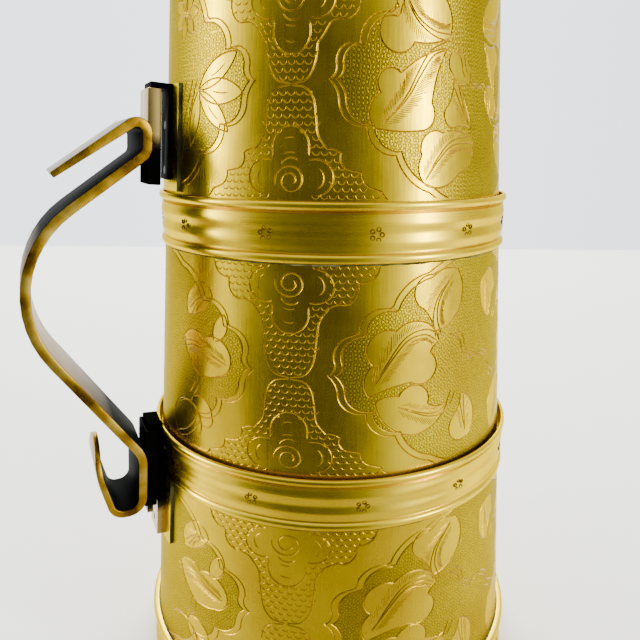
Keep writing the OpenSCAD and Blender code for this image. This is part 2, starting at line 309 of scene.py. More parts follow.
def turned_brass(node):
    """Brass turned on a lathe: paler and glossier than the sheet, with fine lines round it.

    The lines are 0.4 mm apart, coarser than real ones, so that they show.
    """
    place = node("TexCoord").outputs["Object"]
    lathe = (spacing(33.33), spacing(33.33), spacing(0.3846))
    lathe = node("Mapping", {"Vector": place, "Scale": lathe}).outputs[0]
    marks = node("TexNoise", {"Vector": lathe, "Scale": 1.0, "Detail": 3.0}).outputs[0]
    clouds = node("TexNoise", {"Vector": place, "Scale": spacing(22.22), "Detail": 5.0}).outputs[0]
    tint = node("ValToRGB", {0: clouds}, [(0.3, "#DAB60C"), (0.6, "#F0CE1C"), (0.8, "#F4D844")])
    worn = node("Math", {0: clouds, 1: 0.14, 2: 0.17}, operation="MULTIPLY_ADD").outputs[0]
    rough = node("Math", {0: marks, 1: 0.10, 2: worn}, operation="MULTIPLY_ADD").outputs[0]
    bump = node("Bump", {"Height": marks, "Strength": 0.3, "Distance": 0.03 * MM}).outputs[0]
    return {
        "Base Color": tint.outputs[0], "Metallic": 1.0, "Specular Tint": EDGE_TINT,
        "Roughness": rough, "Normal": bump,
    }


def forged_brass(node):
    """Hammered strap, browned by handling, with shallow dents 4.5 mm apart."""
    place = node("TexCoord").outputs["Object"]
    clouds = {"Vector": place, "Scale": spacing(16.667), "Detail": 6.0, "Roughness": 0.65}
    clouds = node("TexNoise", clouds).outputs[0]
    tint = node("ValToRGB", {0: clouds}, [(0.3, "#4E3F20"), (0.52, "#7A6436"), (0.75, "#A88C4C")])
    rough = node("Math", {0: clouds, 1: 0.2, 2: 0.26}, operation="MULTIPLY_ADD").outputs[0]
    dents = node("TexNoise", {"Vector": place, "Scale": spacing(4.5455), "Detail": 2.0}).outputs[0]
    bump = node("Bump", {"Height": dents, "Strength": 0.4, "Distance": 0.2 * MM}).outputs[0]
    return {"Base Color": tint.outputs[0], "Metallic": 1.0, "Roughness": rough, "Normal": bump}


def darkened_brass(node):
    """Sheet brass nearly black with old wax, and metal again in patches where it is rubbed."""
    place = node("TexCoord").outputs["Object"]
    clouds = {"Vector": place, "Scale": spacing(11.111), "Detail": 6.0, "Roughness": 0.6}
    clouds = node("TexNoise", clouds).outputs[0]
    tint = node("ValToRGB", {0: clouds}, [(0.4, "#11100A"), (0.56, "#2A2512"), (0.74, "#6E5C20")])
    bare = node("ValToRGB", {0: clouds}, [(0.48, 0.0), (0.72, 1.0)])
    rough = node("Math", {0: clouds, 1: 0.25, 2: 0.22}, operation="MULTIPLY_ADD").outputs[0]
    return {
        "Base Color": tint.outputs[0], "Metallic": bare.outputs[0],
        "Specular IOR Level": 0.05, "Roughness": rough,
    }


def soot_and_shade_brass(node):
    """Near black on the inner sides, partly a coat of wax and soot and partly painted shade and dark
    reflection; rubbed brown by the hand in mid-grip.
    """
    place = node("TexCoord").outputs["Object"]
    clouds = node("TexNoise", {"Vector": place, "Scale": spacing(9.0909), "Detail": 5.0}).outputs[0]
    height = node("SeparateXYZ", {0: place}).outputs[2]
    above = node("MapRange", {0: height, 1: GRIP_LOW, 2: GRIP_LOW + GRIP_FADE}).outputs[0]
    below = node("MapRange", {0: height, 1: GRIP_HIGH, 2: GRIP_HIGH - GRIP_FADE}).outputs[0]
    grip = node("Math", {0: above, 1: below}, operation="MULTIPLY").outputs[0]
    patches = node("Math", {0: clouds, 1: 0.8, 2: 0.5}, operation="MULTIPLY_ADD").outputs[0]
    rubbed = node("Math", {0: grip, 1: patches}, operation="MULTIPLY").outputs[0]
    # the near-black ramp is partly wax and soot, partly painted shade and dark reflection
    film_and_shade = node("ValToRGB", {0: clouds}, [(0.35, "#060906"), (0.6, "#0D100B"), (0.8, "#22211A")])
    tint = node("Mix", {0: rubbed, 6: film_and_shade.outputs[0], 7: linear("#8A6C34")}, data_type="RGBA")
    gloss = node("Math", {0: rubbed, 1: 0.3, 2: 0.01}, operation="MULTIPLY_ADD").outputs[0]
    rough = node("Math", {0: rubbed, 1: -0.2, 2: 0.6}, operation="MULTIPLY_ADD").outputs[0]
    bump = node("Bump", {"Height": clouds, "Strength": 0.3, "Distance": 0.2 * MM}).outputs[0]
    return {
        "Base Color": tint.outputs[2], "Metallic": rubbed, "Specular IOR Level": gloss,
        "Roughness": rough, "Normal": bump,
    }


def graded_brass(node, dark_at, bright_at):
    """Folded sheet brass, bright at one end and near black at the other, in patches between."""
    place = node("TexCoord").outputs["Object"]
    clouds = {"Vector": place, "Scale": spacing(11.111), "Detail": 6.0, "Roughness": 0.6}
    clouds = node("TexNoise", clouds).outputs[0]
    height = node("SeparateXYZ", {0: place}).outputs[2]
    rise = node("MapRange", {0: height, 1: dark_at, 2: bright_at}).outputs[0]
    patches = node("Math", {0: clouds, 1: 0.7, 2: -0.35}, operation="MULTIPLY_ADD").outputs[0]
    lightness = node("Math", {0: rise, 1: patches}, operation="ADD").outputs[0]
    tint = node("ValToRGB", {0: lightness}, [(0.15, "#0B0C08"), (0.45, "#2E2812"), (0.8, "#B49A58")])
    bare = node("ValToRGB", {0: lightness}, [(0.25, 0.0), (0.6, 1.0)])
    gloss = node("ValToRGB", {0: lightness}, [(0.25, 0.0), (0.6, 0.3)])
    rough = node("Math", {0: clouds, 1: 0.22, 2: 0.16}, operation="MULTIPLY_ADD").outputs[0]
    return {
        "Base Color": tint.outputs[0], "Metallic": bare.outputs[0],
        "Specular IOR Level": gloss.outputs[0], "Roughness": rough,
    }


def verdigris(node):
    """Pale green corrosion and dried polish: chalky, matt and broken."""
    place = node("TexCoord").outputs["Object"]
    grains = node("TexNoise", {"Vector": place, "Scale": spacing(1.1111), "Detail": 4.0}).outputs[0]
    patches = node("TexNoise", {"Vector": place, "Scale": spacing(7.6923), "Detail": 3.0}).outputs[0]
    tint = node("ValToRGB", {0: patches}, [(0.35, "#2A2A08"), (0.5, "#50531A"), (0.68, "#8E9058")])
    bump = node("Bump", {"Height": grains, "Strength": 0.6, "Distance": 0.1 * MM}).outputs[0]
    return {"Base Color": tint.outputs[0], "Roughness": 0.85, "Normal": bump}


def filed_brass(node):
    """Edge dressed with a coarse file: bright, with slanting teeth marks about 0.5 mm apart."""
    place = node("TexCoord").outputs["Object"]
    slant = node("Mapping", {"Vector": place, "Rotation": (0, FILE_SLANT, 0)}).outputs[0]
    teeth = TAU / WAVE_UNITS * spacing(FILE_TEETH)
    teeth = {"Vector": slant, "Scale": teeth, "Distortion": 4.0, "Detail": 3.0}
    teeth = node("TexWave", teeth, wave_type="BANDS", bands_direction="X").outputs["Fac"]
    clouds = node("TexNoise", {"Vector": place, "Scale": spacing(11.111), "Detail": 4.0}).outputs[0]
    tint = node("ValToRGB", {0: clouds}, [(0.36, "#6B4A0C"), (0.5, "#C4981C"), (0.66, "#EBCB58")])
    share = node("Math", {0: teeth, 1: 0.15}, operation="MULTIPLY").outputs[0]
    tint = node("Mix", {0: share, 6: tint.outputs[0], 7: linear("#7A5A08")}, data_type="RGBA")
    rough = node("Math", {0: clouds, 1: 0.2, 2: 0.2}, operation="MULTIPLY_ADD").outputs[0]
    bump = node("Bump", {"Height": teeth, "Strength": 0.3, "Distance": 0.1 * MM}).outputs[0]
    return {"Base Color": tint.outputs[2], "Metallic": 1.0, "Roughness": rough, "Normal": bump}


def tinned_sheet(node):
    """Hot-dipped tin lining: pale grey with soft flow marks."""
    place = node("TexCoord").outputs["Object"]
    flow = {"Vector": place, "Scale": spacing(33.33), "Detail": 4.0, "Distortion": 0.6}
    flow = node("TexNoise", flow).outputs[0]
    tint = node("ValToRGB", {0: flow}, [(0.3, "#9E9C96"), (0.7, "#C9C7C0")]).outputs[0]
    rough = node("Math", {0: flow, 1: 0.2, 2: 0.3}, operation="MULTIPLY_ADD").outputs[0]
    return {"Base Color": tint, "Metallic": 1.0, "Roughness": rough}


BRASS_SHEET = finish("polished_brass_sheet", polished_brass)
RING_GROUND = finish("ring_punched_ground", ring_punched_brass)
CUT = finish("engraved_cut", engraved_brass)
PUNCHED = finish("punch_mark_patina", punched_patina)
BAND_BRASS = finish("turned_brass_band", turned_brass)
STRAP_BRASS = finish("forged_brass_strap", forged_brass)
DARK_BRASS = finish("darkened_brass_sheet", darkened_brass)
TIN = finish("tinned_lining", tinned_sheet)
GREEN = finish("verdigris_and_dried_polish", verdigris)
FILED = finish("filed_brass_edge", filed_brass)
# near-black finish: partly wax and soot, partly painted shade and dark reflection
SOOT_AND_SHADE = finish("soot_and_painted_shade_inner_side", soot_and_shade_brass)
SLEEVE_FOOT = foot_of("upper_sleeve")
# the upper sleeve is near black at its foot and bright above; the stem is bright at its foot and near black
# above
SLEEVE_BRASS = finish("graded_sleeve_brass", graded_brass, SLEEVE_FOOT + 9 * MM, SLEEVE_FOOT + 17 * MM)
STEM_FOOT = foot_of("bottom_hook")
STEM_BRASS = finish("graded_stem_brass", graded_brass, STEM_FOOT + 15 * MM, STEM_FOOT + 7 * MM)


# ---------------------------------------------------------------- making a piece


def placed(work, name, body, node, finishes):
    """A finished piece that rides on a body in the place of a CAD node."""
    mesh = bpy.data.meshes.new(name)
    work.to_mesh(mesh)
    work.free()
    for material in finishes:
        mesh.materials.append(material)
    made = bpy.data.objects.new(name, mesh)
    bpy.context.collection.objects.link(made)
    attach(made, body)
    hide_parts(node)


def add_copy(work, part):
    """Add a part's faces to the work and free the part."""
    mesh = bpy.data.meshes.new("part")
    part.to_mesh(mesh)
    part.free()
    work.from_mesh(mesh)
    bpy.data.meshes.remove(mesh)


# ---------------------------------------------------------------- engraving
# The ornament is drawn on the wall laid flat: degrees round the wall, and millimetres up from
# the band below it. One column of scales and one pointed cartouche come three times round.

VISIBLE = (PITCH - BAND_H) / MM
REPEATS = 3
REPEAT = 360 / REPEATS
# a line is sampled every 0.8 mm, and the depth of a cut is read from samples 0.12 mm apart
SAMPLE = 0.8
LINE_SAMPLE = 0.12
# an arc that rises less is drawn straight
FLAT_ARC = 0.02
CUT_DEPTH = 0.2
# a face is part of a cut from this depth on
CUT_SHOWS = 0.012
# half the width of an outline, of a line inside a motif and of a hatching stroke
OUTLINE = 0.25
FINE = 0.2
HATCH = 0.13
# a cut narrows to a point over its last 0.9 mm
NARROWING = 0.9
# cuts stop this far from the bands
END_GAP = 0.25
# half the gap of a double midrib, and the hatching beside it
RIB_HALF = 1.0
HATCH_START = 0.6
HATCH_ACROSS = 0.6
HATCH_BACK = 0.8
STROKE_POINTS = 8
# one scale of the column: its pitch both ways, and the radii of its arc
SCALE_WIDE = 2.35
SCALE_TALL = 1.95
SCALE_ARC = (1.05, 1.25)
CARTOUCHE_MIDDLE = 32
CARTOUCHE_LINE_GAP = 1.9
# degrees and rows of the even grid under the ornament; a foot deeper than 12 mm gets a row more
GRID_STEP = 2
GRID_ROWS = 25
DEEP_FOOT = 12
FLAT_WELD = 1e-5
PLAIN, IN_CUT, MATTED, LINING = range(4)


def arc(start, end, bulge):
    """Samples from start up to end, on an arc that rises by bulge times its chord."""
    chord = np.subtract(end, start)
    length = float(np.hypot(*chord))
    along = chord / length
    aside = np.array([along[1], -along[0]])
    rise = abs(bulge) * length
    count = max(2, int(math.ceil(length * (1 + 2 * bulge * bulge) / SAMPLE)))
    if rise < FLAT_ARC:
        return [np.add(start, chord * n / count) for n in range(count)]
    half = 2 * math.atan(2 * rise / length)
    radius = length / 2 / math.sin(half)
    samples = []
    for n in range(count):
        angle = half * (2 * n / count - 1)
        out = math.copysign(radius * (math.cos(angle) - math.cos(half)), bulge)
        samples.append(np.add(start, along * (length / 2 + radius * math.sin(angle)) + aside * out))
    return samples


def lobes(corners):
    """Outline through corners given as (across, up, bulge of the arc to the next corner)."""
    path = []
    for here, there in zip(corners, corners[1:]):
        path += arc(here[:2], there[:2], here[2])
    path.append(np.array(corners[-1][:2], float))
    return np.array(path)


def smooth(points):
    """Even curve through a few points."""
    points = np.array(points, float)
    ends = np.vstack([2 * points[0] - points[1], points, 2 * points[-1] - points[-2]])
    path = []
    for n in range(len(points) - 1):
        a, b, c, d = ends[n:n + 4]
        count = max(2, int(math.ceil(np.hypot(*(c - b)) / SAMPLE)))
        for t in np.arange(count) / count:
            path.append(0.5 * (
                2 * b + (c - a) * t + (2 * a - 5 * b + 4 * c - d) * t ** 2 + (3 * b - a - 3 * c + d) * t ** 3
            ))
    path.append(points[-1])
    return np.array(path)


def spiral(centre, outer, inner, start, turns):
    """Spiral from an outer to an inner radius, from a bearing in degrees."""
    count = int(abs(turns) * TAU * (outer + inner) / 2 / SAMPLE) + 6
    share = np.linspace(0, 1, count)
    radius = outer + (inner - outer) * share
    angle = math.radians(start) + turns * TAU * share
    return np.stack([centre[0] + radius * np.cos(angle), centre[1] + radius * np.sin(angle)], 1)


def inside(points, outline):
    """Which points lie inside a closed outline."""
    low = outline.min(0)
    high = outline.max(0)
    hit = np.zeros(len(points), bool)
    near = np.where(((points >= low) & (points <= high)).all(1))[0]
    x, y = points[near].T
    odd = np.zeros(len(near), bool)
    for (x0, y0), (x1, y1) in zip(outline, np.roll(outline, -1, 0)):
        if y0 != y1:
            odd ^= ((y0 > y) != (y1 > y)) & (x < (x1 - x0) * (y - y0) / (y1 - y0) + x0)
    hit[near] = odd
    return hit


class Ornament:
    """Cuts and areas of one wall, whose upper scales and corners hang drop lower."""

    def __init__(self, drop):
        self.drop = drop
        self.cuts = []
        self.cartouches = []
        self.leaves = []
        self.at(0)

    def at(self, across, mirrored=False, turned=False):
        """Draw from here on round a bearing, as given, mirrored or turned half round."""
        def place(path):
            path = np.array(path, float)
            if mirrored or turned:
                path[:, 0] *= -1
            if turned:
                path[:, 1] = VISIBLE - path[:, 1]
            path[:, 0] += across
            return path
        self.place = place

    def cut(self, path, half=OUTLINE):
        """Keep the stretches of a line that stay clear of the bands."""
        path = self.place(path)
        clear = (path[:, 1] > END_GAP) & (path[:, 1] < VISIBLE - END_GAP)
        breaks = np.flatnonzero(clear[1:] != clear[:-1]) + 1
        for run, kept in zip(np.split(path, breaks), np.split(clear, breaks)):
            if kept[0] and len(run) > 1:
                self.cuts.append((run, half))

    def leaf(self, corners, rib=None, hatch=0.0):
        """Lobed leaf: closed outline, a double midrib and fine strokes beside it."""
        swept = sum(a[0] * b[1] - b[0] * a[1] for a, b in zip(corners, corners[1:] + corners[:1]))
        outward = -1 if swept < 0 else 1
        outline = lobes([(u, z, bulge * outward) for u, z, bulge in corners + corners[:1]])
        self.leaves.append(self.place(outline))
        self.cut(outline)
        if rib is None:
            return
        line = smooth(rib)
        step = np.gradient(line, axis=0)
        step /= np.hypot(*step.T)[:, None]
        aside = np.stack([step[:, 1], -step[:, 0]], 1)
        share = np.linspace(1, 0, len(line))
        gap = aside * RIB_HALF * share[:, None]
        self.cut(line + gap)
        self.cut(line - gap)
        if not hatch:
            return
        for n in range(1, len(line) - 1):
            # strokes get shorter towards the tip, and no two beside each other are equal
            reach = hatch * (2.1 + 0.3 * math.sin(n * 2.4)) * (0.55 + 0.45 * share[n])
            for side in (-1, 1):
                root = line[n] + side * aside[n] * (RIB_HALF * share[n] + HATCH_START)
                slant = side * aside[n] * HATCH_ACROSS - step[n] * HATCH_BACK
                stroke = root + np.linspace(0, reach, STROKE_POINTS)[:, None] * slant
                stroke = stroke[inside(stroke, outline)]
                if len(stroke) > 2:
                    self.cut(stroke, HATCH)


def closed(half):
    """Mirror half an outline, given from bottom to top at one side, into a closed one."""
    other = half[::-1] * [-1, 1]
    return np.vstack([half, other[1:]])


def column(art, across):
    """Column of scales between two cloud heads."""
    art.at(across)
    top = VISIBLE - art.drop
    upper = np.vstack([
        smooth([(0, 30.9), (4.2, 32.0), (6.5, 36), (7.2, 41), (8.0, top - 16.5), (10.5, top - 12.6)])[:-1],
        lobes([
            (10.5, top - 12.6, -0.12), (15, top - 11.6, 0.22), (18.5, top - 5.5, 0.0),
            (20.5, top - 5.2, 0.2), (24, top, 0.1), (31, top + 7, 0),
        ]),
    ])
    lower = np.vstack([
        smooth([(0, 30.6), (4.0, 29.8), (6.2, 27), (7.0, 22), (7.6, 17.5), (10, 14)])[:-1],
        lobes([
            (10, 14, -0.12), (13.8, 12.8, 0.2), (15.6, 8.6, 0.0), (19.5, 7.8, 0.2),
            (22.5, 3.5, 0.0), (25, 2.6, 0.1), (27.5, 0, 0),
        ]),
    ])
    for half in (upper, lower):
        art.cut(half)
        art.cut(half * [-1, 1])
    solid = []
    for base, up in ((0, 1), (top, -1)):
        def head(path):
            return np.array([(u, base + up * z) for u, z in path])
        dome = head(np.vstack([
            arc((-5.2, 11.4), (-5.2, 14.4), 0.03),
            [(5.2 * -math.cos(a), 14.4 + 5.8 * math.sin(a)) for a in np.linspace(0, math.pi, 20)],
            arc((5.2, 14.4), (5.2, 11.4), 0.03),
        ]))
        art.cut(dome)
        art.cut(head(arc((-1.9, 16.6), (1.9, 16.6), -0.14)), FINE)
        art.cut(head(arc((-2.0, 12.6), (2.0, 12.6), -0.14)), FINE)
        solid.append(dome)
        for side in (-1, 1):
            lobe = head([
                (side * (6.9 + 5.0 * math.cos(a)), 6.4 + 4.9 * math.sin(a))
                for a in np.linspace(math.radians(112), math.radians(-88), 22)
            ])
            art.cut(lobe)
            solid.append(lobe)
            art.cut(head([
                (side * (6.4 + 2.9 * math.cos(a)), 6.2 + 3.1 * math.sin(a))
                for a in np.linspace(math.radians(60), math.radians(-70), 9)
            ]), FINE)
        art.cut(head(spiral((0, 5.6), 4.4, 1.2, 200, -1.7)))
        art.cut(head(arc((-2.6, 9.8), (2.8, 10.2), -0.32)))
        solid.append(head([(-6, 0), (-6, 12), (6, 12), (6, 0)]))
    field = [closed(upper), closed(lower)]
    places = np.array([
        ((n + 0.5 * (row % 2)) * SCALE_WIDE, 1.2 + row * SCALE_TALL)
        for row in range(int(VISIBLE / SCALE_TALL)) for n in range(-13, 14)
    ])
    ok = inside(places, field[0] + [0, 0.6]) | inside(places, field[1] - [0, 0.6])
    ok &= ~np.any([inside(places, np.array(shape)) for shape in solid], axis=0)
    for u, z in places[ok]:
        art.cut([
            (u + SCALE_ARC[0] * math.cos(a), z + 0.75 + SCALE_ARC[1] * math.sin(a))
            for a in np.linspace(math.radians(190), math.radians(350), 7)
        ], FINE)


def cartouche_line(inset, drop):
    """Half outline of the cartouche, from its foot past the side tip to its head."""
    corners = [
        (0, -3, 0.1), (20.5, 2.2, 0.13), (31, 12.4, 0.23), (39.2, 20.2, 0.24), (46.9, 26.6, -0.1),
        (49.6, 32, -0.16), (47.6, 35.5, 0.2), (44.4, 43.5 - drop * 0.4, 0.0),
        (41.2, 44.6 - drop * 0.6, 0.25), (32.8, 51.4 - drop * 0.4, 0.0), (31.8, 52.2 - drop * 0.4, 0.14),
        (21, 61.2, 0.05), (0, 69, 0),
    ]
    moved = []
    for u, z, bulge in corners:
        up = z - CARTOUCHE_MIDDLE
        share = inset / math.hypot(u, up)
        moved.append((u - u * share, z - up * share, bulge))
    return lobes(moved)


def cartouche(art, across):
    """Pointed cartouche with a double outline."""
    outer = cartouche_line(0, art.drop)
    inner = cartouche_line(CARTOUCHE_LINE_GAP, art.drop)
    for side in (False, True):
        art.at(across, mirrored=side)
        art.cut(outer)
        art.cut(inner)
    art.at(across)
    art.cartouches.append(art.place(closed(inner)))


def broad_leaves(art, across):
    """Lobed leaves on a winding stem; the second half of the spray is the first one turned."""
    for turned in (False, True):
        art.at(across, turned=turned)
        if art.drop:
            art.leaf(
                [(-14.5, 41.3, 0.07), (-29.8, 34, 0.5), (-35.5, 28.8, 0.24), (-37.4, 19.6, 0.04),
                 (-23, 19.2, 0.3), (-19.9, 26.4, -0.06)],
                [(-13.8, 42.2), (-19.9, 39.6), (-24, 34.2), (-28, 27.8), (-35, 20.6)], 3.4,
            )
            art.leaf(
                [(-3.5, 17.6, 0.1), (-16, 18.6, 0.35), (-23.1, 12.4, 0.2), (-21.5, 4.1, 0.16),
                 (-9.6, 7.4, 0.25)],
                [(-3.8, 17.2), (-12.1, 15.9), (-17.3, 11.7), (-22, 5.4)], 2.8,
            )
            art.leaf(
                [(-13.5, 44, 0.06), (-25.8, 42, 0.35), (-36, 43.4, 0.22), (-30.6, 50.4, 0.3),
                 (-27, 57.8, 0.12), (-17, 55, 0.2)],
                [(-11.8, 44), (-19, 44.6), (-25, 48.2), (-29, 54.5)], 3.2,
            )
            art.leaf([(-12.4, 40.5, 0.25), (-12.2, 34.6, 0.25), (-4.5, 33.2, 0.3)])
            art.leaf(
                [(-11.9, 34, -0.1), (-14, 26.2, 0.4), (-11.5, 20.2, -0.1), (-4, 20, 0.1)],
                [(-11, 32), (-8, 26), (-5, 21)], 2.0,
            )
        else:
            art.leaf(
                [(-17.3, 40.2, 0.32), (-31, 44.6, 0.42), (-37.4, 34.8, 0.2), (-38.4, 25, -0.05),
                 (-26.4, 28.6, 0.5), (-20.2, 37, -0.1)],
                [(-17.3, 41.2), (-21.8, 43.5), (-27.2, 42.3), (-31.4, 37.7), (-37.2, 28.4)], 3.2,
            )
            art.leaf(
                [(-13.8, 20, -0.14), (-21, 21, 0.5), (-30, 24.5, 0.1), (-36.8, 23.6, 0.18),
                 (-25.2, 11.6, 0.14)],
                [(-11.5, 23.4), (-14.3, 18.5), (-20, 17.1), (-30.4, 21.2)], 2.6,
            )
            art.leaf(
                [(-18.8, 43.4, -0.08), (-22.6, 50.6, 0.42), (-19.4, 60.6, 0.1), (-10, 61.5, 0.3)],
                [(-17.3, 41.6), (-18.6, 47.5), (-17.2, 53.4), (-12, 60)], 2.6,
            )
            art.leaf(
                [(-8, 21.4, -0.1), (-11.6, 14, 0.3), (-9, 5.6, 0.2), (-2.4, 10, 0.2)],
                [(-8, 21), (-7, 14), (-6, 8)], 2.0,
            )
        art.cut(smooth([(-13.4, 42), (-9, 39.2), (-7.6, 35), (-3.5, 31.6), (0, VISIBLE / 2)]))
        art.cut(smooth([(-11, 43.2), (-7.6, 40.4), (-6.2, 36), (-2.4, 32.6), (0.6, VISIBLE / 2 + 0.8)]))


def cane_leaves(art, across):
    """Jointed canes with pointed leaves, and a pinwheel flower."""
    for turned in (False, True):
        art.at(across, turned=turned)
        knot = (28, 30.3)
        for tip, spread in (((45.6, 29), 0.2), ((43.5, 40), 0.16), ((40.5, 18.5), 0.16), ((24, 14.5), 0.14)):
            art.leaf([(knot[0], knot[1], spread), (tip[0], tip[1], spread)])
            reach = np.subtract(tip, knot)
            art.cut(np.array(arc(np.add(knot, reach * 0.35), np.add(knot, reach * 0.75), 0.06)), FINE)
        for foot in (8, 14):
            for shift in (0, 2.4):
                art.cut(smooth([(foot + shift, 2), (foot + 4 + shift, 17), (foot + 11 + shift, 34)]))
                for up in (0.3, 0.62, 0.85):
                    at = (foot + 11 * up ** 1.4, 2 + 32 * up)
                    art.cut(np.array(arc(at, (at[0] + 2.6, at[1] + 0.3), 0.2)), FINE)
        hub = (20, 52)
        for n in range(7):
            angle = n * TAU / 7
            out = (hub[0] + 7.5 * math.cos(angle), hub[1] + 7.5 * math.sin(angle))
            art.leaf([(hub[0], hub[1], 0.24), (out[0], out[1], 0.24)])


def disc_leaves(art, across):
    """A spray of lobed leaves over a round fruit."""
    for turned in (False, True):
        art.at(across, turned=turned)
        art.leaf(
            [(22, 37.5, 0.25), (31.5, 38.5, 0.3), (42.2, 33.2, 0.2), (37.5, 27.4, 0.1), (29, 26.8, 0.1)],
            [(20.5, 34.5), (28, 36), (36, 33.4), (41, 31.6)], 2.8,
        )
        art.leaf(
            [(24, 45, 0.2), (26, 54, 0.35), (35, 52, 0.15)],
            [(25, 46), (28.5, 50), (32, 51.8)], 2.4,
        )
        art.leaf([(36, 38.5, 0.3), (39.5, 47.5, 0.2)])
        art.cut([(23.5 + 7.6 * math.cos(a), 8.5 + 7.6 * math.sin(a)) for a in np.linspace(-0.6, 5.2, 46)])
        art.cut([(24.6 + 6.6 * math.cos(a), 9.2 + 6.8 * math.sin(a)) for a in np.linspace(-1.2, 2.4, 30)])
        art.leaf([(27, 18, 0.3), (35.5, 13.5, 0.35), (31.5, 9.5, 0.3)])
        art.cut(smooth([(27, 18.5), (29.5, 22), (30, 27)]))
        art.cut(smooth([(25.2, 18.8), (27.6, 22.6), (28, 27)]))


def cut_strips(cuts, stretch):
    """Each cut as a strip that narrows to its ends, and the deepest line along its middle."""
    points = []
    links = []
    lines = []
    for path, half in cuts:
        path = path * [stretch, 1]
        step = np.gradient(path, axis=0)
        size = np.hypot(*step.T)
        size[size == 0] = 1
        step /= size[:, None]
        run = np.concatenate([[0], np.cumsum(np.hypot(*np.diff(path, axis=0).T))])
        near_end = np.minimum(run, run[-1] - run)
        width = half * np.sqrt(np.clip(near_end / NARROWING, 0.0, 1.0))
        aside = np.stack([step[:, 1], -step[:, 0]], 1) * width[:, None]
        first = len(points)
        count = len(path)
        points += list(path)
        links += [(first + n, first + n + 1) for n in range(count - 1)]
        for side in (-1, 1):
            start = len(points)
            points += list(path[1:-1] + side * aside[1:-1])
            edge = [first, *range(start, start + count - 2), first + count - 1]
            links += list(zip(edge, edge[1:]))
        dense = np.linspace(0, run[-1], max(2, int(run[-1] / LINE_SAMPLE)))
        lines.append(np.stack([np.interp(dense, run, part) for part in (*path.T, width)], 1))
    return points, links, np.vstack(lines)


def add_grid(points, links, columns, rows):
    """Add an even grid over the flat sheet, linked along the sheet's four sides."""
    first = len(points)
    wide = len(columns)
    last = len(rows) - 1
    points += [np.array([u, z]) for z in rows for u in columns]
    for start in (first, first + last * wide):
        links += [(n, n + 1) for n in range(start, start + wide - 1)]
    for row in range(last):
        for start in (first + row * wide, first + row * wide + wide - 1):
            links.append((start, start + wide))


def cut_depths(flat, lines):
    """Depth of each point of the sheet: full on a cut's middle line, nothing at its edges."""
    tree = KDTree(len(lines))
    for n, (x, y, _) in enumerate(lines):
        tree.insert((x, y, 0), n)
    tree.balance()
    depth = np.zeros(len(flat))
    for n, (x, y) in enumerate(flat):
        _, nearest, away = tree.find((x, y, 0))
        width = lines[nearest][2]
        if away < width:
            depth[n] = CUT_DEPTH * (1 - away / width) * min(1, width / OUTLINE)
    return depth


def ring(work, radius, z, phase):
    """A ring of points at the bearings where the sheet's ends have theirs."""
    bearings = np.radians(np.arange(0, 360, GRID_STEP) + phase)
    return [work.verts.new((radius * math.cos(a), radius * math.sin(a), z)) for a in bearings]


def joined(work, first, second):
    """Faces of the lining between two rings."""
    faces = []
    for n in range(len(first)):
        m = (n + 1) % len(first)
        faces.append(work.faces.new([first[m], first[n], second[n], second[m]]))
        faces[-1].material_index = LINING
    return faces


